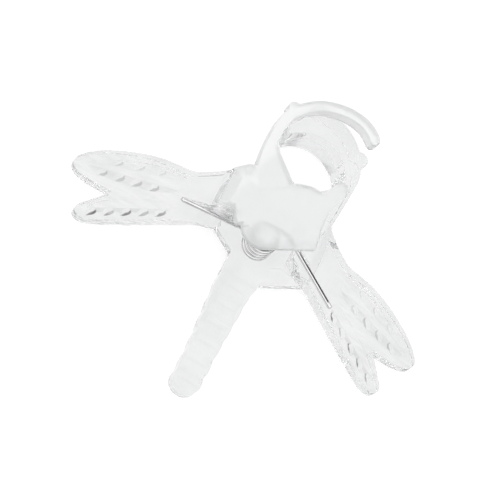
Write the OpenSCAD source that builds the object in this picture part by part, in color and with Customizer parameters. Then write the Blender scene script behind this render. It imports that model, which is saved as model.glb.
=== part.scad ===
// Dragonfly orchid clip: two clear mouldings crossed on an integral pivot peg,
// held shut by one torsion spring. All sizes in mm.
// Axes: X along the wing span, Y towards the head, Z up through the clip.
// The origin is on the pivot axis, in the plane that the clip lies on.

/* [Body] */
// height of the clip, from the resting face to the top of the cap
total_h = 8.0; // [7.8:0.1:8.6]
// thickness of the lower and upper plates
plate_t = 1.6; // [1.2:0.1:1.7]
// free gap between faces that sweep past each other
run_gap = 0.4; // [0.3:0.05:0.5]

/* [Wings] */
// pivot axis to the outermost point of a fore wing
wing_reach = 28; // [26:0.5:32]
// thickness of a wing at its tip
wing_tip_t = 1.8; // [1.4:0.1:2.2]
// height of a wing's underside at its tip above the resting face
wing_tip_lift = 0.6; // [0.2:0.1:1]
// depth of the sunk panels in the wings
panel_depth = 0.4; // [0.2:0.05:0.6]
// extra depth of the slanted dimples in the panels
dimple_depth = 0.4; // [0.2:0.05:0.4]

/* [Grip ring] */
// radius of the round inner wall of the far jaw
grip_r = 5.8; // [5.3:0.1:6]
// outer radius of the far jaw
far_r = 8.15; // [7.9:0.05:8.6]
// radial thickness of the near jaw
near_wall = 1.6; // [1.2:0.05:1.8]
// height of the near jaw's band
near_h = 2.2; // [1.9:0.1:2.4]

/* [Tail] */
// pivot axis to the end of the tail
tail_reach = 24.8; // [23:0.2:32]
// half width of the tail at its root
tail_root_w = 2.75; // [2.4:0.05:2.9]
// half width of the tail near its end
tail_end_w = 2.1; // [1.8:0.05:2.4]
// height of the tail above the resting face
tail_h = 3.4; // [2.8:0.1:3.6]
// number of rounded segments along the tail
tail_beads = 6; // [5:1:7]

/* [Spring and pivot] */
// wire of the torsion spring
wire_d = 0.7; // [0.6:0.02:0.7]
// radius of the coil, to the middle of the wire
coil_r = 2.0; // [1.95:0.01:2.1]
// reach of the spring legs along the wings, from the pivot axis
leg_reach = 12.3; // [11.5:0.1:13.5]
// radial running gap between the peg and the cap's bore
peg_fit = 0.05; // [0.02:0.01:0.1]

/* [Hidden] */
$fn = 48;
// levels, from the resting face up
z_low = plate_t;
z_cap = total_h - plate_t;
root_lo = z_low + run_gap;
root_hi = z_cap - run_gap;
near_lo = total_h - near_h;
far_top = near_lo - run_gap;
wing_hi = root_hi - 1;
// wing stations, before the reach is set
root_x = 9;
tip_x0 = 28;
kx = (wing_reach - root_x)/(tip_x0 - root_x);
tip_top = wing_tip_lift + wing_tip_t;
// ring centres
far_c = [0.5, 15.3];
grip_c = [1.3, 13.2];
throat_c = [0.9, 15.9];
throat_r = 5.6;
// spring: the coil, and where its legs end
rise = z_cap - z_low - wire_d - 0.5;
leg_z0 = z_low + 0.25 + wire_d/2;
leg_z1 = leg_z0 + rise;
head_l = 12.8;
head_r = -30;
wind = 3*360 + head_l;
wall_y = coil_r + wire_d/2 + 0.04;
leg_flat = 2.2;
left_end_z = 4.3;
right_end_z = 4.9;
bend = [3.3, coil_r];
// nose of the cap, and the slope round it
nose_c = [-1.1, 0.4];
nose_r = 3;
nose_wide = 1.2;
nose_h = 0.8;
front_a = 31.5;
// pivot peg
peg_r = coil_r - wire_d/2 - 0.2;
neck_r = peg_r - 0.3;
stake_r = peg_r + 0.05;
stake_t = 0.4;
lip_t = 0.4;

clear = [0.86, 0.9, 0.92, 0.55];
steel = [0.62, 0.63, 0.65];

function at(c, r, a) = [c.x + r*cos(a), c.y + r*sin(a)];
function arc(c, r, a0, a1, n) = [for (i = [0 : n]) at(c, r, a0 + (a1 - a0)*i/n)];
function crm(a, b, c, d, t) =
    0.5*(2*b + (c - a)*t + (2*a - 5*b + 4*c - d)*t*t + (3*b - a - 3*c + d)*t*t*t);
// a smooth open line through the points, n steps between two of them
function line_through(p, n) = [
    for (i = [0 : len(p) - 2], k = [0 : n - 1])
        crm(p[max(i - 1, 0)], p[i], p[i + 1], p[min(i + 2, len(p) - 1)], k/n),
    p[len(p) - 1]];
// a smooth closed loop through the points
function loop_through(p, n) = [
    for (i = [0 : len(p) - 1], k = [0 : n - 1])
        let (m = len(p))
        crm(p[(i + m - 1)%m], p[i], p[(i + 1)%m], p[(i + 2)%m], k/n)];
function sx(x) = x <= root_x ? x : root_x + (x - root_x)*kx;
function spread(p) = [for (q = p) [sx(q.x), q.y]];

module slab(p, z0, z1) {
    translate([0, 0, z0])
        linear_extrude(z1 - z0) polygon(p);
}

// a prism that runs along Y, from its outline in X and Z
module side_prism(p, y0, y1) {
    translate([0, y1, 0])
        rotate([90, 0, 0])
            linear_extrude(y1 - y0) polygon(p);
}

fore_line = line_through([[8.0, 7.3], [10.2, 5.5], [12.8, 4.0], [15, 3.75], [18, 3.35],
    [21.5, 2.15], [25, 0.35], [27.2, -1.5], [28.0, -2.9], [27.3, -4.1], [24.8, -4.75],
    [21.3, -4.7]], 4);
hind_line = line_through([[21.3, -4.7], [23.2, -7.2], [24.7, -9.1], [24.4, -10.1],
    [23.2, -10.4], [21.6, -9.8], [17.9, -7.7], [12.4, -4.25], [8.9, -2.05]], 4);
wing_plan = spread(concat([[7, 7.6]], fore_line, [for (i = [1 : len(hind_line) - 1])
    hind_line[i]], [[6.4, -1.1]]));
fore_panel = spread(loop_through([[13.4, 2.5], [18.6, 1.7], [23.6, -0.7], [26.2, -2.7],
    [24, -3.4], [18.4, -2.5], [13.8, -0.4]], 4));
hind_panel = spread(loop_through([[13.6, -4], [18, -6.5], [22.4, -9], [23.2, -8.3],
    [20.8, -5.9], [17, -3.6], [13.8, -2.2]], 4));

// top and underside of a wing as lines along its span
function wing_top(x) = wing_hi + (tip_top - wing_hi)*(x - root_x)/(wing_reach - root_x);
function wing_low(x) = root_lo + (wing_tip_lift - root_lo)*(x - root_x)/(wing_reach - root_x);

// a slanted teardrop cutter, deep enough to pass out of the wing's top
module dimple(p, a, long, wide) {
    translate([sx(p.x), p.y, 0])
        rotate([0, 0, a])
            linear_extrude(total_h)
                polygon([for (i = [0 : 11])
                    [0.5*long*cos(30*i), 0.5*wide*sin(30*i)*(1 - 0.35*cos(30*i))]]);
}

module above_top(drop) {
    side_prism([[root_x, wing_top(root_x) - drop],
        [wing_reach + 1, wing_top(wing_reach + 1) - drop],
        [wing_reach + 1, total_h + 1], [root_x, total_h + 1]], -14, 10);
}

module wing() {
    e = wing_reach + 0.5;
    difference() {
        intersection() {
            slab(wing_plan, 0, total_h);
            side_prism([[6, root_lo], [root_x, root_lo], [e, wing_low(e)],
                [e, wing_top(e)], [root_x, wing_hi], [6, wing_hi]], -14, 10);
        }
        intersection() {
            union() {
                slab(fore_panel, 0, total_h);
                slab(hind_panel, 0, total_h);
            }
            above_top(panel_depth);
        }
        intersection() {
            union() {
                for (i = [0 : 4])
                    dimple([14.2 + 2.1*i, -4.35 - 1.2*i], -57, 1.9, 0.85);
                for (i = [0 : 3])
                    dimple([16.6 + 2.4*i, -1.3 - 0.55*i], -50, 1.7, 0.8);
                for (i = [0 : 2])
                    dimple([16.6 + 2.9*i, 1.5 - 0.9*i], -50, 1.3, 0.65);
            }
            above_top(panel_depth + dimple_depth);
        }
    }
}

// radial face where the two mouldings meet when the clip is shut
stop_a = 123;
stop_in = at([0, 0], 5.8, stop_a);
stop_out = at([0, 0], 9.9, stop_a);
stop_off = 0.3*[sin(stop_a), -cos(stop_a)];

// the line moved sideways by w, to its right-hand side
function moved(p, w) = [for (i = [0 : len(p) - 1])
    let (t = p[min(i + 1, len(p) - 1)] - p[max(i - 1, 0)])
    p[i] + w*[t.y, -t.x]/norm(t)];
function back(p) = [for (i = [len(p) - 1 : -1 : 0]) p[i]];

// near jaw: a thin band from the left shoulder round the head to a free tip
v_low = [-0.2, 8.7];
chord_top = [-3.8, 11.8];
near_out = line_through([[-5.95, 8.3], [-6.2, 11], [-6.35, 14], [-6.15, 16.8], [-5.3, 19.2],
    [-3.2, 21.7], [-0.9, 23.3], [2.5, 24.3], [5.6, 24.1], [7.4, 23.15], [8.2, 22.45]], 3);
near_start = [for (i = [5 : len(near_out) - 1]) near_out[i]];
near_in = moved(near_start, near_wall);
near_tip = 0.5*(near_start[len(near_start) - 1] + near_in[len(near_in) - 1]);
tip_v = near_start[len(near_start) - 1] - near_tip;
tip_h = atan2(tip_v.y, tip_v.x);
near_jaw = concat(
    [v_low, chord_top],
    near_in,
    arc(near_tip, near_wall/2, tip_h - 160, tip_h - 20, 6),
    back(near_out),
    [[-5.7, 7.6], [-4.3, 5.9], [-2.4, 6.6]]);

cap_plan = concat(
    arc(nose_c, nose_r, 200, 300, 10),
    [[7.0, 1.85]],
    line_through([[6.4, 4.6], [6.3, 7.8], [6.9, 10.1], [7.3, 12.2], [6.6, 13.1],
        [5.4, 12.5], [4.9, 11.1], [4.1, 9.95], [3.0, 9.9], [1.5, 9.5]], 3),
    [v_low, chord_top, [-5.5, 11.3], [-5.5, 8.7], [-6.5, 7.2], [-6.5, 2.2], [-5.2, -0.6],
        [-4.6, -1.2]]);

left_root = [[-7, 7.6], stop_out, stop_in, [-4.3, 2.2], [-4.7, 0.4], [-6.4, -0.7],
    [-9.4, -1.6], [-9.4, 5.8], [-8, 7.3]];

// where the left leg lies: open near the coil, then a ledge behind the leg and a wall
// in front of it
module left_ledge() {
    s0 = 5.6;
    s1 = leg_reach + 0.8;
    slope = (left_end_z - leg_z0)/(leg_reach - leg_flat);
    z0 = leg_z0 - wire_d/2 - 0.04 - slope*leg_flat;
    rotate([0, 0, head_l])
        side_prism([[-2.6, 0], [-2.6, total_h + 1], [-s1, total_h + 1], [-s1, z0 + slope*s1],
            [-s0, z0 + slope*s0], [-s0, 0]], -3.6, wall_y);
}

// where the right leg lies: down to the leg's underside, with a wall in front of it
module right_ledge() {
    s1 = leg_reach - 0.9;
    slope = (leg_z1 - right_end_z)/(leg_reach - 1.3);
    z0 = leg_z1 - wire_d/2 - 0.04;
    translate([bend.x, bend.y, 0])
        rotate([0, 0, head_r])
            side_prism([[-1.5, z0], [0, z0], [s1, z0 - slope*s1], [s1, total_h + 1],
                [-1.5, total_h + 1]], -3.2, wire_d/2 + 0.04);
}

// keeps the cap below a slope that runs round its nose and along its front edge
module sloped_front() {
    z1 = total_h - nose_h;
    translate([nose_c.x, nose_c.y, 0])
        rotate([0, 0, front_a]) {
            rotate([90, 0, 90])
                linear_extrude(14)
                    polygon([[-nose_r - 0.5, z_cap - 1], [-nose_r - 0.5, z1 - 0.3],
                        [-nose_r + nose_wide, total_h + 0.02], [30, total_h + 0.02],
                        [30, z_cap - 1]]);
            translate([0, 0, z_cap - 1])
                cylinder(r = nose_r + 0.5, h = z1 - z_cap + 0.7);
            translate([0, 0, z1 - 0.3])
                cylinder(r1 = nose_r + 0.5, r2 = nose_r - nose_wide, h = nose_h + 0.32);
            translate([-14, 0, z_cap - 1])
                cube([14.5, 34, plate_t + 2]);
        }
    translate([-14, -8, z_cap - 1])
        cube([10.4, 16, plate_t + 2]);
}

// upper moulding: cap, near jaw, left shoulder and the left pair of wings
module left_half() {
    color(clear)
    difference() {
        union() {
            intersection() {
                slab(cap_plan, z_cap, total_h);
                sloped_front();
            }
            slab(near_jaw, near_lo, total_h);
            translate([-4.85, 19.4, near_lo])
                cylinder(r = 0.95, h = near_h);
            difference() {
                union() {
                    intersection() {
                        slab(left_root, 0, total_h);
                        side_prism([[-root_x, root_lo], [-3, root_lo], [-3, total_h],
                            [-6.9, total_h], [-root_x, wing_hi - 0.3]], -6, 10);
                    }
                    mirror([1, 0, 0]) wing();
                }
                left_ledge();
            }
        }
        translate([0, 0, z_cap - 1])
            cylinder(r = neck_r + peg_fit, h = 1 + lip_t + 0.1);
        translate([0, 0, z_cap + lip_t])
            cylinder(r = stake_r + 0.1, h = stake_t + 0.1);
    }
}

far_jaw = concat(
    [stop_in + stop_off, stop_out + stop_off, [-4.6, 11.2]],
    arc(throat_c, throat_r, 214, 318, 14),
    line_through([[5.75, 13.1], [6.4, 14.0]], 1),
    arc(grip_c, grip_r, 20, 140, 18),
    line_through([[-3.6, 17.2], [-4.1, 18.2], [-3.9, 19.5], [-2.9, 21.1]], 3),
    arc(far_c, far_r, 106, 2, 18),
    [[8.4, 12.1], [8.2, 9.8], [7.95, 7.3], [6.4, 4.7]]);

base_plan = [[-6.1, -0.1], [-2.65, -2.1], [-2.5, -6.6], [2.75, -6.6], [3.3, -4.4],
    [9.2, -0.85], [9.3, 3.2], [7.9, 7.4], [-4.9, 8.2], [-5.9, 6.2]];

right_root = [[6.0, 7.2], [7, 7.6], [8.0, 7.3], [9.4, 5.8], [9.4, -1.6], [8.4, -1.4],
    [6.4, -0.7], [5.0, 0.2], [5.0, 4.4]];

// tail: rounded segments, cut out of three outlines
bead_y0 = -6.1;
bead_len = (tail_reach + bead_y0)/tail_beads;
function tail_w(t) = tail_root_w + (tail_end_w - tail_root_w)*min(1, t*1.6);
function bead(t) = abs(sin(180*t*tail_beads));
end_t = 1 - 0.9*tail_end_w/(tail_reach + bead_y0);
tn = tail_beads*6;
function tail_side(s) = [for (i = [0 : tn])
    let (t = end_t*i/tn)
    [s*(tail_w(t) - 0.2 + 0.2*bead(t)), bead_y0 - t*(tail_reach + bead_y0)]];
tail_plan = concat(
    [[-tail_root_w + 0.1, bead_y0 + 1]], tail_side(-1),
    [for (a = [200 : 20 : 340]) [tail_end_w*cos(a), -tail_reach + 0.9*tail_end_w*(1 + sin(a))]],
    [for (i = [tn : -1 : 0]) tail_side(1)[i]],
    [[tail_root_w - 0.1, bead_y0 + 1]]);
tail_height = concat([[0.5, 0], [bead_y0 + 1, 0], [bead_y0 + 1, z_low - 0.1]],
    [for (i = [0 : tn]) let (t = i/tn)
        [bead_y0 - t*(tail_reach + bead_y0), tail_h - 0.5*t - 0.55 + 0.55*bead(t)]],
    [[-tail_reach, 0]]);
tail_front = [[-3.2, 0], [-3.2, 1.1], [-2.4, 2.3], [-1.3, tail_h], [1.3, tail_h], [2.4, 2.3],
    [3.2, 1.1], [3.2, 0]];

module tail() {
    intersection() {
        slab(tail_plan, 0, tail_h);
        rotate([90, 0, 90])
            translate([0, 0, -4])
                linear_extrude(8) polygon([for (i = [1 : len(tail_height) - 1]) tail_height[i]]);
        side_prism(tail_front, -tail_reach - 1, 0);
    }
}

// lower moulding: base, pivot peg, far jaw, tail and the right pair of wings
module right_half() {
    color(clear)
    difference() {
        union() {
            slab(base_plan, 0, z_low);
            slab(far_jaw, 0, far_top);
            translate([7.4, 19.3, 0])
                cylinder(r = 1.25, h = far_top);
            difference() {
                union() {
                    intersection() {
                        slab(right_root, 0, total_h);
                        side_prism([[4, 0], [7.6, 0], [root_x, root_lo + 0.3],
                            [root_x, wing_hi - 0.3], [7.4, root_hi], [4, root_hi]], -6, 10);
                    }
                    wing();
                }
                right_ledge();
            }
            tail();
            cylinder(r = peg_r, h = z_cap - 0.05);
            cylinder(r = neck_r, h = z_cap + lip_t + 0.1);
            translate([0, 0, z_cap + lip_t + 0.05])
                cylinder(r = stake_r, h = stake_t);
        }
        slab([[3.3, -2.6], [4.3, -2.9], [7.7, -0.8], [4.8, -0.5], [3.3, -1.4]],
            z_low - 0.5, z_low + 0.5);
    }
}

// torsion spring: straight leg, three turns and a bit, straight leg
coil_n = 48;
function coil_at(u) = [coil_r*cos(head_l + 90 - wind*u), coil_r*sin(head_l + 90 - wind*u),
    leg_z0 + rise*u];
left_dir = [-cos(head_l), -sin(head_l), 0];
left_flat = coil_at(0) + leg_flat*left_dir;
left_end = coil_at(0) + leg_reach*left_dir + [0, 0, left_end_z - leg_z0];
bend_p = [bend.x, bend.y, leg_z1];
right_end = [bend.x + (leg_reach - 1.3)*cos(head_r), bend.y + (leg_reach - 1.3)*sin(head_r),
    right_end_z];
path = concat(
    [for (s = [1, 0.5, 0.03]) s*left_end + (1 - s)*left_flat],
    [for (s = [0.9, 0.25]) s*left_flat + (1 - s)*coil_at(0)],
    [for (i = [0 : coil_n]) coil_at(i/coil_n)],
    [for (s = [0.3, 0.9]) (1 - s)*coil_at(1) + s*bend_p],
    [for (s = [0.03, 0.5, 1]) (1 - s)*bend_p + s*right_end]);
last = len(path) - 1;
function unit(v) = v/norm(v);
function along(i) = unit(path[min(i + 1, last)] - path[max(i - 1, 0)]);
sides = 6;
function ring_at(i) =
    let (t = along(i), s = unit(cross([0, 0, 1], t)), u = cross(t, s))
    [for (k = [0 : sides - 1])
        path[i] + 0.5*wire_d*(cos(360*k/sides + 30)*s + sin(360*k/sides + 30)*u)];

module torsion_spring() {
    color(steel)
    polyhedron(
        points = [for (i = [0 : last], p = ring_at(i)) p],
        faces = concat(
            [[for (k = [0 : sides - 1]) sides - 1 - k]],
            [for (i = [0 : last - 1], k = [0 : sides - 1])
                [i*sides + k, i*sides + (k + 1)%sides,
                 (i + 1)*sides + (k + 1)%sides, (i + 1)*sides + k]],
            [[for (k = [0 : sides - 1]) last*sides + k]]));
}

// least gap of the wire to itself, on points at least a third of a turn apart
turn_n = coil_n*360/wind;
self_gap = min([for (i = [0 : last], j = [0 : last])
    if (j - i > turn_n/3) norm(path[i] - path[j]) - wire_d]);
echo(spring_self_gap = self_gap);

left_half();
right_half();
torsion_spring();
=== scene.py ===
# %% [markdown]
# # A clear dragonfly orchid clip
# This lesson dresses a small clip that holds an orchid stem to a stake. The real thing is two
# clear plastic mouldings that cross on a moulded peg, and one steel spring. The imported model
# gives the exact shapes, so the script loads it first and builds the looks round it.
# Every length is in metres, in the model's own frame: X along the wings, Y towards the head,
# Z up, with the origin on the pivot where the clip lies on the table.

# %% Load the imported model
from math import cos, pi, radians, sin

import bpy
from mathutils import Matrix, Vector


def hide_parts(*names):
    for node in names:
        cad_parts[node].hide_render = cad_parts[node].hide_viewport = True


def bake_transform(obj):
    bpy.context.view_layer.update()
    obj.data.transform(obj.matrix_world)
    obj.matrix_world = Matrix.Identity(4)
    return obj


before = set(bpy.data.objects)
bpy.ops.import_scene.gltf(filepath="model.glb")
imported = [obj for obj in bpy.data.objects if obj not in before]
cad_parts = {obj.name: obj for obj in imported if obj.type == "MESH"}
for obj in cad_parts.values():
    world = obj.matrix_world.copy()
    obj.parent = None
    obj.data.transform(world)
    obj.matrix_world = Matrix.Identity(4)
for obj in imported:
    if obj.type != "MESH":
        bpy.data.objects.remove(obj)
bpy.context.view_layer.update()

MM = 0.001

# %% [markdown]
# ## Camera
# The picture looks down on the clip from the tail's side, and the camera is rolled so that the
# head points to the upper right. Those angles came from fitting the wing tips, the ring and the
# tail of the model to the picture. A long lens keeps the small clip nearly free of perspective,
# as a catalogue picture does. The camera's three axes are built from the angles and put straight
# into its matrix, which is easier to read than a chain of rotations.

# %% Set up the camera
def direction(azimuth, elevation):
    """From the object towards a viewer: azimuth 0 looks from -Y, elevation 90 from above."""
    az, el = radians(azimuth), radians(elevation)
    return Vector((sin(az) * cos(el), -cos(az) * cos(el), sin(el)))


CAMERA_AZIMUTH, CAMERA_ELEVATION, CAMERA_ROLL = -17.40, 60.85, 46.72
CAMERA_PLACE = Vector((-44.492, -141.535, 266.435)) * MM
FOCAL_PIXELS, PICTURE_PIXELS, SENSOR = 2161.2, 500, 36.0

back = direction(CAMERA_AZIMUTH, CAMERA_ELEVATION)
level = Vector((0, 0, 1)).cross(back).normalized()
upward = back.cross(level)
roll = radians(CAMERA_ROLL)
camera_x = level * cos(roll) + upward * sin(roll)
camera_y = upward * cos(roll) - level * sin(roll)

camera_data = bpy.data.cameras.new("camera")
camera_data.sensor_width = SENSOR
camera_data.lens = FOCAL_PIXELS * SENSOR / PICTURE_PIXELS
camera_data.clip_start, camera_data.clip_end = 0.01, 20
camera = bpy.data.objects.new("camera", camera_data)
bpy.context.scene.collection.objects.link(camera)
for column, axis in enumerate((camera_x, camera_y, back, CAMERA_PLACE)):
    for row in range(3):
        camera.matrix_world[row][column] = axis[row]
bpy.context.scene.camera = camera
print("lens:", round(camera_data.lens, 1), "mm, distance:", round(CAMERA_PLACE.length, 3), "m")

# %% [markdown]
# ## Node helpers
# Each finish is a small graph of shader nodes. A few helpers keep the graphs short. Wherever a
# node takes a value, these helpers take a plain value or the output of another node, so a
# finish reads almost like a sum.

# %% Helpers that add a node
def give(tree, socket, value):
    if isinstance(value, bpy.types.NodeSocket):
        tree.links.new(value, socket)
    else:
        socket.default_value = value


def add(tree, kind, settings=None, **sockets):
    node = tree.nodes.new(kind)
    for key, value in (settings or {}).items():
        setattr(node, key, value)
    for key, value in sockets.items():
        give(tree, node.inputs[key.replace("_", " ")], value)
    return node


def new_material(name):
    made = bpy.data.materials.new(name)
    made.use_nodes = True
    made.node_tree.nodes.clear()
    return made, made.node_tree


print("helpers for nodes: give, add, new_material")


# %% Helpers for sums and noise
def calculate(tree, operation, a, b=0.0, c=0.0):
    node = add(tree, "ShaderNodeMath", {"operation": operation})
    for socket, value in zip(node.inputs, (a, b, c)):
        give(tree, socket, value)
    return node.outputs[0]


def product(tree, first, *others):
    for other in others:
        first = calculate(tree, "MULTIPLY", first, other)
    return first


def dot(tree, vector, way):
    node = add(tree, "ShaderNodeVectorMath", {"operation": "DOT_PRODUCT"})
    give(tree, node.inputs[0], vector)
    give(tree, node.inputs[1], way)
    return node.outputs["Value"]


def noise(tree, place, scale, detail, roughness):
    """Noise with about `scale` blotches to the metre."""
    return add(tree, "ShaderNodeTexNoise", Vector=place, Scale=scale, Detail=detail,
               Roughness=roughness).outputs["Fac"]


def remap(tree, value, low, high, from_low=0.3, from_high=0.7):
    """Stretches a range over the wanted numbers. The usual range is the middle of a noise."""
    node = add(tree, "ShaderNodeMapRange", Value=value)
    for key, number in (("From Min", from_low), ("From Max", from_high),
                        ("To Min", low), ("To Max", high)):
        node.inputs[key].default_value = number
    return node.outputs["Result"]


print("helpers for sums and noise: calculate, product, dot, noise, remap")

# %% [markdown]
# ## Pits in the wings
# Each wing has rows of small slanted pits. Real ones look dark on their steep side, where light
# is bent away from the eye. On pits this small that is too fine for the renderer to find by
# itself, so shade is painted on that side: its colour is mixed towards a dark grey. The painted
# shade is not a picture: it is found from the shape. A point is in a pit if it lies deep enough
# under the top of the wing and near one of three straight lines, and it is on the steep side if
# its surface faces outwards along the wing. Both pairs of wings share the rows, because the
# sideways distance is folded over the middle.

# %% Find the steep side of each pit, where shade is painted
WING_HIGH, WING_FALL = 6.232 * MM, -0.13684
PIT_BEGINS, PIT_ENDS = (0.36 * MM, 0.52 * MM), (0.95 * MM, 1.05 * MM)
# each row of pits follows y = start + slope * span, with its half width and the darkness of its
# painted shade
PIT_ROWS = ((3.764 * MM, -0.5714, 1.0 * MM, 1.0), (2.504 * MM, -0.2292, 0.9 * MM, 0.6),
            (6.652 * MM, -0.3103, 0.8 * MM, 0.4))
SOLID_SHARE = 0.8
ROWS_BEGIN = (12.5 * MM, 13.2 * MM)
STEEP_WAY, STEEP_FROM = (0.93, 0.37, 0), (-0.10, 0.12)
PIT_VARIETY, VARIETY_RANGE, VARIETY_SCALE = (0.55, 1.0), (0.35, 0.6), 350


def near_a_row(tree, span, along):
    nearest = 0.0
    for start, slope, wide, dark in PIT_ROWS:
        middle = calculate(tree, "MULTIPLY_ADD", span, slope, start)
        off = calculate(tree, "ABSOLUTE", calculate(tree, "SUBTRACT", along, middle))
        nearest = calculate(tree, "MAXIMUM",
                            remap(tree, off, dark, 0, SOLID_SHARE * wide, wide), nearest)
    return nearest


# paints shade on the steep side of each pit, as a share from 0 to 1
def shade_painted_in_pits(tree, coordinates, across, along, height, span):
    wing_top = calculate(tree, "MULTIPLY_ADD", span, WING_FALL, WING_HIGH)
    depth = calculate(tree, "SUBTRACT", wing_top, height)
    nx, ny, _ = add(tree, "ShaderNodeSeparateXYZ", Vector=coordinates["Normal"]).outputs
    outward = product(tree, nx, calculate(tree, "SIGN", across))
    facing = dot(tree, add(tree, "ShaderNodeCombineXYZ", X=outward, Y=ny).outputs[0], STEEP_WAY)
    uneven = noise(tree, coordinates["Object"], VARIETY_SCALE, detail=1, roughness=0.5)
    return product(tree, remap(tree, depth, 0, 1, *PIT_BEGINS),
                   remap(tree, depth, 1, 0, *PIT_ENDS),
                   near_a_row(tree, span, along),
                   remap(tree, span, 0, 1, *ROWS_BEGIN),
                   remap(tree, uneven, *PIT_VARIETY, *VARIETY_RANGE),
                   remap(tree, facing, 0, 1, *STEEP_FROM))


print("rows of pits on each wing:", len(PIT_ROWS))

# %% [markdown]
# ## Flow lines
# Plastic that runs into a long thin wing leaves fine lines along it. Modelled as ridges they
# would need a far finer mesh, so a noise that is stretched along the wing draws them. It is
# folded over the middle too, so that the lines of both sides lean the way the real ones do.

# %% Draw the flow lines
LINES_TURN, LINES_STRETCH, LINES_SCALE = 33, (0.12, 1, 0.3), 1500
WINGS_BEGIN = (11 * MM, 14 * MM)


def flow_lines(tree, span, along, height):
    """The lines as noise, and how much a point is on a wing."""
    folded = add(tree, "ShaderNodeCombineXYZ", X=span, Y=along, Z=height)
    turned = add(tree, "ShaderNodeMapping", {"vector_type": "POINT"}, Vector=folded.outputs[0])
    turned.inputs["Rotation"].default_value = (0, 0, radians(LINES_TURN))
    turned.inputs["Scale"].default_value = LINES_STRETCH
    return (noise(tree, turned.outputs[0], LINES_SCALE, detail=3, roughness=0.6),
            remap(tree, span, 0, 1, *WINGS_BEGIN))


print("flow lines turn by", LINES_TURN, "degrees")

# %% [markdown]
# ## Clear plastic
# The mouldings are clear with a faint grey cloud in them, and the cap and the near jaw are
# milky and matt. One Principled shader does it all. Nearly all light passes through the wings
# and the tail, and about half through the cap, where the rest is scattered as white. Noise
# makes the cloud, the frosting and a weak ripple, and the flow lines are added as tint and as
# relief.
# The real plastic bends light more strongly, by about 1.49. A weaker 1.33 is used here, because
# the thin walls then stay pale, as they do on the real thing in bright even light.
# Lamps would throw black shadows through such a shader, so rays to the lamps meet a plain pale
# film in place of it.

# %% Helpers that mix
def mix(tree, share, first, second, kind="RGBA"):
    """Mixes two colours, or two numbers with kind FLOAT."""
    low, high, out = {"FLOAT": (2, 3, 0), "RGBA": (6, 7, 2)}[kind]
    node = add(tree, "ShaderNodeMix", {"data_type": kind}, Factor=share)
    give(tree, node.inputs[low], first)
    give(tree, node.inputs[high], second)
    return node.outputs[out]


def mix_shaders(tree, share, first, second):
    node = add(tree, "ShaderNodeMixShader", Fac=share)
    give(tree, node.inputs[1], first.outputs[0])
    give(tree, node.inputs[2], second.outputs[0])
    return node


print("helpers that mix: mix, mix_shaders")

# %% Give the plastic its tint
CLOUDY, CLEAREST = (0.78, 0.785, 0.79, 1), (0.87, 0.875, 0.875, 1)
CLOUDS_SCALE, LEAST_CLEAR = 180, 0.2
LINES_TINT = 0.7
CAP_WHITE = (0.92, 0.925, 0.925, 1)
# painted shade: the dark grey on the steep side of each pit
PAINTED_SHADE_GREY = (0.04, 0.04, 0.04, 1)


def plastic_tint(tree, place, matt, painted_pit_shade, lines, on_wing):
    clouds = noise(tree, place, CLOUDS_SCALE, detail=4, roughness=0.55)
    streaks = product(tree, on_wing, remap(tree, lines, -LINES_TINT, LINES_TINT))
    clearness = calculate(tree, "ADD", remap(tree, clouds, LEAST_CLEAR, 1), streaks)
    clear = mix(tree, clearness, CLOUDY, CLEAREST)
    # the painted shade on the steep side of the pits is mixed in last
    return mix(tree, painted_pit_shade, mix(tree, matt, clear, CAP_WHITE), PAINTED_SHADE_GREY)


print("tint from", CLOUDY[:3], "to", CLEAREST[:3])

# %% Make the clear plastic
PLASTIC_IOR = 1.33
MILKY_HEIGHTS = (5.9 * MM, 6.3 * MM)
CLEAR_SHARE, MILKY_SHARE = 0.975, 0.58
FROST_SCALE, FROST_ROUGH, CAP_ROUGH = 420, (0.04, 0.10), 0.28
RIPPLE_SCALE, LINES_RELIEF = 900, 2
RELIEF_STRENGTH, RELIEF_DEPTH = 0.15, 0.12 * MM
FILM = (0.95, 0.953, 0.955, 1)


def clear_plastic(name):
    made, tree = new_material(name)
    coordinates = add(tree, "ShaderNodeTexCoord").outputs
    place = coordinates["Object"]
    across, along, height = add(tree, "ShaderNodeSeparateXYZ", Vector=place).outputs
    span = calculate(tree, "ABSOLUTE", across)
    # painted shade on the steep side of the pits
    painted_pit_shade = shade_painted_in_pits(tree, coordinates, across, along, height, span)
    lines, on_wing = flow_lines(tree, span, along, height)
    matt = remap(tree, height, 0, 1, *MILKY_HEIGHTS)

    frost = noise(tree, place, FROST_SCALE, detail=5, roughness=0.6)
    rough = calculate(tree, "MULTIPLY_ADD", matt, CAP_ROUGH, remap(tree, frost, *FROST_ROUGH))
    ripple = noise(tree, place, RIPPLE_SCALE, detail=2, roughness=0.5)
    relief = calculate(tree, "MULTIPLY_ADD", product(tree, lines, on_wing), LINES_RELIEF,
                       ripple)
    bump = add(tree, "ShaderNodeBump", Height=relief, Strength=RELIEF_STRENGTH,
               Distance=RELIEF_DEPTH)
    shader = add(tree, "ShaderNodeBsdfPrincipled", IOR=PLASTIC_IOR, Roughness=rough,
                 Base_Color=plastic_tint(tree, place, matt, painted_pit_shade, lines, on_wing),
                 Transmission_Weight=remap(tree, matt, CLEAR_SHARE, MILKY_SHARE, 0, 1),
                 Normal=bump.outputs["Normal"])
    film = add(tree, "ShaderNodeBsdfTransparent", Color=FILM)
    to_lamp = add(tree, "ShaderNodeLightPath").outputs["Is Shadow Ray"]
    mixed = mix_shaders(tree, to_lamp, shader, film)
    add(tree, "ShaderNodeOutputMaterial", Surface=mixed.outputs[0])
    return made


plastic = clear_plastic("moulded_clear_plastic")
print("plastic nodes:", len(plastic.node_tree.nodes))

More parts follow.
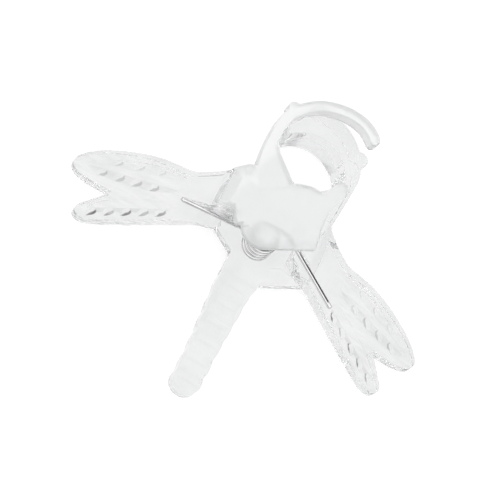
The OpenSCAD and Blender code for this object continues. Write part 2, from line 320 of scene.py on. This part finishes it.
# %% [markdown]
# ## The two mouldings
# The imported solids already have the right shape, but every edge on them is razor sharp. A real
# moulding has small rounded edges, and on clear plastic those edges are what the eye sees. A
# bevel would have to follow hundreds of short edges, and it fails where they meet at odd
# angles. So the corners are welded, a fine voxel remesh makes one even skin, a smoothing rounds
# every edge by about the same amount, and a last step drops the faces that flat parts don't
# need. These are modifiers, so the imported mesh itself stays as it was.

# %% Round the edges of the mouldings
WELD_REACH = 0.001 * MM
VOXEL = 0.12 * MM
SMOOTHING, SMOOTHING_PASSES = 0.5, 4
KEPT_SHARE = 0.35


def soften(piece):
    weld = piece.modifiers.new("weld", "WELD")
    weld.merge_threshold = WELD_REACH
    grid = piece.modifiers.new("voxels", "REMESH")
    grid.mode = "VOXEL"
    grid.voxel_size = VOXEL
    grid.use_smooth_shade = True
    smooth = piece.modifiers.new("smooth", "SMOOTH")
    smooth.factor = SMOOTHING
    smooth.iterations = SMOOTHING_PASSES
    fewer = piece.modifiers.new("fewer", "DECIMATE")
    fewer.ratio = KEPT_SHARE


for half in ("left_half", "right_half"):
    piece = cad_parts[half]
    soften(piece)
    piece.data.materials.clear()
    piece.data.materials.append(plastic)
    shown = piece.evaluated_get(bpy.context.evaluated_depsgraph_get())
    print(half, "faces after softening:", len(shown.data.polygons))

# %% [markdown]
# ## The line of the spring
# The spring is one bright drawn wire: a close-wound coil round the peg, and two straight legs
# that push the wings apart. Its line starts at the end of the left leg, drops a little towards
# the coil, climbs round the peg, runs straight on to a bend under the cap, and follows the right
# leg out. It is written out as points, because each stretch has a simple formula. A real wire
# can't turn a sharp corner, so the line is eased at the bends.

# %% Lay out the coil and the legs
COIL_RADIUS = 2.0 * MM
COIL_TURNS, COIL_POINTS = 4, 192
COIL_LOW, COIL_HIGH = 2.2 * MM, 5.8 * MM
LEFT_HEADING, RIGHT_HEADING = 12.8, -30.0
LEFT_REACH, LEFT_FLAT, RIGHT_REACH = 12.3 * MM, 2.2 * MM, 11.0 * MM
LEFT_END_HIGH, RIGHT_END_HIGH = 4.3 * MM, 4.9 * MM
BEND = Vector((3.3 * MM, COIL_RADIUS, COIL_HIGH))


def on_coil(share):
    wound = COIL_TURNS * 360 + LEFT_HEADING
    angle = radians(LEFT_HEADING + 90 - wound * share)
    return Vector((COIL_RADIUS * cos(angle), COIL_RADIUS * sin(angle),
                   COIL_LOW + (COIL_HIGH - COIL_LOW) * share))


def heading(degrees):
    return Vector((cos(radians(degrees)), sin(radians(degrees)), 0))


left_knee = on_coil(0) - heading(LEFT_HEADING) * LEFT_FLAT
left_end = on_coil(0) - heading(LEFT_HEADING) * LEFT_REACH
left_end.z = LEFT_END_HIGH
right_end = BEND + heading(RIGHT_HEADING) * RIGHT_REACH
right_end.z = RIGHT_END_HIGH
print("legs:", round((left_end - on_coil(0)).length / MM, 1), "and",
      round((right_end - BEND).length / MM, 1), "mm")

# %% Join and ease the line
EASING = 3


def straight(a, b, pieces):
    return [a.lerp(b, i / pieces) for i in range(pieces)]


def eased(points, rounds):
    """Rounds the bends of a line a little, as a wire is bent over a pin."""
    for _ in range(rounds):
        middle = [(a + b * 2 + c) / 4 for a, b, c in zip(points, points[1:], points[2:])]
        points = [points[0], *middle, points[-1]]
    return points


coil = [on_coil(i / COIL_POINTS) for i in range(COIL_POINTS)]
line = (straight(left_end, left_knee, pieces=12) + straight(left_knee, coil[0], pieces=5) + coil
        + straight(on_coil(1), BEND, pieces=6) + straight(BEND, right_end, pieces=14)
        + [right_end])
line = eased(line, EASING)
wire_length = sum((b - a).length for a, b in zip(line, line[1:]))
print("wire:", round(wire_length / MM, 1), "mm long,", len(line), "points")

# %% [markdown]
# ## The wire
# A curve object with a round bevel could carry the wire, but a mesh is made instead: a ring of
# corners is swept along the line. Each ring takes over its sideways direction from the one
# before, which keeps the tube from twisting, and a few smaller rings at each end make a rounded
# tip.

# %% Set out the rings
WIRE_RADIUS = 0.34 * MM
TIP_LENGTH = 0.6
TIP_RINGS = ((0.55, 0.9), (0.85, 0.6), (1.0, 0.2))


def rings_along(points, radius):
    """Centre, direction, sideways direction and size of every ring, with both tips."""
    last = len(points) - 1
    ways = [(points[min(i + 1, last)] - points[max(i - 1, 0)]).normalized()
            for i in range(last + 1)]
    side = ways[0].orthogonal().normalized()
    rings = []
    for point, way in zip(points, ways):
        side = (side - way * side.dot(way)).normalized()
        rings.append((point, way, side, radius))
    tips = [[(point + way * sign * radius * far * TIP_LENGTH, way, side, radius * wide)
             for far, wide in TIP_RINGS]
            for (point, way, side, _), sign in ((rings[0], -1), (rings[-1], 1))]
    return tips[0][::-1] + rings + tips[1]


wire_rings = rings_along(line, WIRE_RADIUS)
print("rings:", len(wire_rings), "on a wire of", round(2 * WIRE_RADIUS / MM, 2), "mm")

# %% Sweep the wire
SIDES = 16


def sweep(name, rings, sides):
    """A round tube through the rings, closed by a small flat face at each end."""
    corners, faces = [], []
    for point, way, side, size in rings:
        other = way.cross(side)
        corners += [point + (side * cos(2 * pi * k / sides) + other * sin(2 * pi * k / sides))
                    * size for k in range(sides)]
    for i in range(len(rings) - 1):
        for k in range(sides):
            n = (k + 1) % sides
            faces.append((i * sides + k, i * sides + n, (i + 1) * sides + n,
                          (i + 1) * sides + k))
    last = (len(rings) - 1) * sides
    faces.append(tuple(range(sides - 1, -1, -1)))
    faces.append(tuple(last + k for k in range(sides)))
    mesh = bpy.data.meshes.new(name)
    mesh.from_pydata(corners, [], faces)
    mesh.shade_smooth()
    piece = bpy.data.objects.new(name, mesh)
    bpy.context.scene.collection.objects.link(piece)
    return piece


spring = sweep("spring_wire", wire_rings, SIDES)
print("spring faces:", len(spring.data.polygons))

# %% [markdown]
# ## Bright drawn steel
# Wire that is drawn through a die keeps fine scratches and a slightly uneven shine. A picture of
# scratches would first have to be wrapped round the coil, and noise needs no such wrapping. A
# coarse noise makes the tint uneven, and a fine one drives the roughness and a faint bump.

# %% Make the steel
DULL_STEEL, BRIGHT_STEEL = (0.72, 0.72, 0.73, 1), (0.84, 0.84, 0.84, 1)
BLOTCHES_SCALE, GRAIN_SCALE = 700, 4200
STEEL_ROUGH = (0.04, 0.12)
GRAIN_STRENGTH, GRAIN_DEPTH = 0.15, 0.03 * MM


def drawn_steel(name):
    made, tree = new_material(name)
    place = add(tree, "ShaderNodeTexCoord").outputs["Object"]
    blotches = noise(tree, place, BLOTCHES_SCALE, detail=3, roughness=0.6)
    tint = mix(tree, remap(tree, blotches, 0, 1), DULL_STEEL, BRIGHT_STEEL)
    grain = noise(tree, place, GRAIN_SCALE, detail=4, roughness=0.7)
    bump = add(tree, "ShaderNodeBump", Height=grain, Strength=GRAIN_STRENGTH,
               Distance=GRAIN_DEPTH)
    shader = add(tree, "ShaderNodeBsdfPrincipled", Metallic=1.0, Base_Color=tint,
                 Roughness=remap(tree, grain, *STEEL_ROUGH), Normal=bump.outputs["Normal"])
    add(tree, "ShaderNodeOutputMaterial", Surface=shader.outputs[0])
    return made


steel = drawn_steel("drawn_spring_steel")
spring.data.materials.append(steel)
print("steel nodes:", len(steel.node_tree.nodes))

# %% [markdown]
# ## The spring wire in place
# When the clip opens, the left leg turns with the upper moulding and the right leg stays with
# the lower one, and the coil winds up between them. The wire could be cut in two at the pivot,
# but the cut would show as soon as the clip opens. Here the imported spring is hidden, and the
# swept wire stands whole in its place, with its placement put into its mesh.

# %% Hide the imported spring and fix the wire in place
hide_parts("torsion_spring")
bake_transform(spring)

# %% [markdown]
# ## Floor
# Clear plastic shows what is round it more than itself, so the floor matters. It is a plain
# sheet of paper. For the camera it is lifted to white by a little glow, and it still takes a
# faint soft shadow. Rays that pass through the clip or bounce off it see plain white paper,
# without the shadow that they would otherwise show twice.

# %% Lay the floor
FLOOR_HALF, FLOOR_DROP = 1.2, 0.02 * MM

corners = [(x * FLOOR_HALF, y * FLOOR_HALF, -FLOOR_DROP) for x, y in
           ((-1, -1), (1, -1), (1, 1), (-1, 1))]
floor_mesh = bpy.data.meshes.new("floor")
floor_mesh.from_pydata(corners, [], [(0, 1, 2, 3)])
floor = bpy.data.objects.new("floor", floor_mesh)
bpy.context.scene.collection.objects.link(floor)
print("floor:", FLOOR_HALF * 2, "m square")

# %% Make the paper
PAPER, WHITE = (0.5, 0.5, 0.5, 1), (1, 1, 1, 1)
GLOW, SEEN_THROUGH = 0.60, 1.0

paper_white, tree = new_material("paper_white")
rays = add(tree, "ShaderNodeLightPath").outputs
paper = add(tree, "ShaderNodeBsdfDiffuse", Color=PAPER)
glow = add(tree, "ShaderNodeEmission", Color=WHITE,
           Strength=product(tree, rays["Is Camera Ray"], GLOW))
lit = add(tree, "ShaderNodeAddShader")
give(tree, lit.inputs[0], paper.outputs[0])
give(tree, lit.inputs[1], glow.outputs[0])
even = add(tree, "ShaderNodeEmission", Color=WHITE, Strength=SEEN_THROUGH)
bent = calculate(tree, "MAXIMUM", rays["Is Glossy Ray"], rays["Is Transmission Ray"])
floor_look = mix_shaders(tree, bent, lit, even)
add(tree, "ShaderNodeOutputMaterial", Surface=floor_look.outputs[0])
floor.data.materials.append(paper_white)
print("paper nodes:", len(tree.nodes))

# %% [markdown]
# ## World
# The world is an even pale dome, and white for the camera. Polished wire would look flat under
# an even dome, so what the wire mirrors is a studio with a dark horizon and one long dark strip
# of card overhead. The horizon draws the thin dark lines between the turns, and the strip hangs
# where the right leg mirrors it, so it draws the black line down that leg.

# %% Draw what the wire mirrors
HORIZON, BRIGHT_TOP, HORIZON_ENDS = 0.02, 1.25, (0.30, 0.52)
STRIP_DARK, STRIP_HALF, STRIP_BEGINS = 0.97, (0.05, 0.11), (-0.15, 0.0)

world = bpy.data.worlds.new("studio")
bpy.context.scene.world = world
world.use_nodes = True
tree = world.node_tree
tree.nodes.clear()
aim = add(tree, "ShaderNodeTexCoord").outputs["Generated"]
_, away, height = add(tree, "ShaderNodeSeparateXYZ", Vector=aim).outputs

leg_way = (right_end - BEND).normalized()
off_strip = calculate(tree, "ABSOLUTE", calculate(tree, "ADD", leg_way.dot(back),
                                                  dot(tree, aim, leg_way)))
strip = product(tree, remap(tree, off_strip, STRIP_DARK, 0, *STRIP_HALF),
                remap(tree, away, 0, 1, *STRIP_BEGINS))
mirrored = product(tree, remap(tree, height, HORIZON, BRIGHT_TOP, *HORIZON_ENDS),
                   calculate(tree, "SUBTRACT", 1.0, strip))
print("mirrored studio nodes:", len(tree.nodes))

# %% Light the world
AMBIENT = 0.88
PALE_HORIZON, PALE_TOP, PALE_ENDS = 0.92, 1.0, (0.0, 0.30)

rays = add(tree, "ShaderNodeLightPath").outputs
around = mix(tree, rays["Is Glossy Ray"], AMBIENT, mirrored, "FLOAT")
through = remap(tree, height, PALE_HORIZON, PALE_TOP, *PALE_ENDS)
seen = mix(tree, rays["Is Transmission Ray"], around, through, "FLOAT")
strength = calculate(tree, "MAXIMUM", rays["Is Camera Ray"], seen)
sky = add(tree, "ShaderNodeBackground", Color=WHITE, Strength=strength)
add(tree, "ShaderNodeOutputWorld", Surface=sky.outputs[0])
print("world nodes:", len(tree.nodes))

# %% [markdown]
# ## Lamps
# Two big soft lamps stand left and behind. They give the milky cap its gentle shading. Their
# own reflections are switched off, because a bright disk in each pit and on each turn of the
# wire would hide the fine lines.

# %% Hang the lamps
def soft_lamp(name, azimuth, elevation, distance, size, power):
    data = bpy.data.lights.new(name, "AREA")
    data.shape, data.size, data.energy = "DISK", size, power
    lamp = bpy.data.objects.new(name, data)
    lamp.location = direction(azimuth, elevation) * distance
    lamp.rotation_euler = direction(azimuth, elevation).to_track_quat("Z", "Y").to_euler()
    lamp.visible_glossy = lamp.visible_transmission = False
    bpy.context.scene.collection.objects.link(lamp)
    print(name, "at", [round(number, 2) for number in lamp.location])


soft_lamp("key_lamp", azimuth=-75, elevation=50, distance=0.8, size=0.5, power=1.2)
soft_lamp("back_lamp", azimuth=150, elevation=45, distance=0.9, size=0.6, power=0.7)

# %% [markdown]
# ## Finish
# The view transform is Standard, so that a colour comes out as it is written. A ray crosses many
# thin walls in this clip, so more bounces than usual are allowed before it is given up.

# %% Finish
scene = bpy.context.scene
scene.view_settings.view_transform = "Standard"
scene.cycles.max_bounces = 20
scene.cycles.glossy_bounces = 12
scene.cycles.transmission_bounces = 16
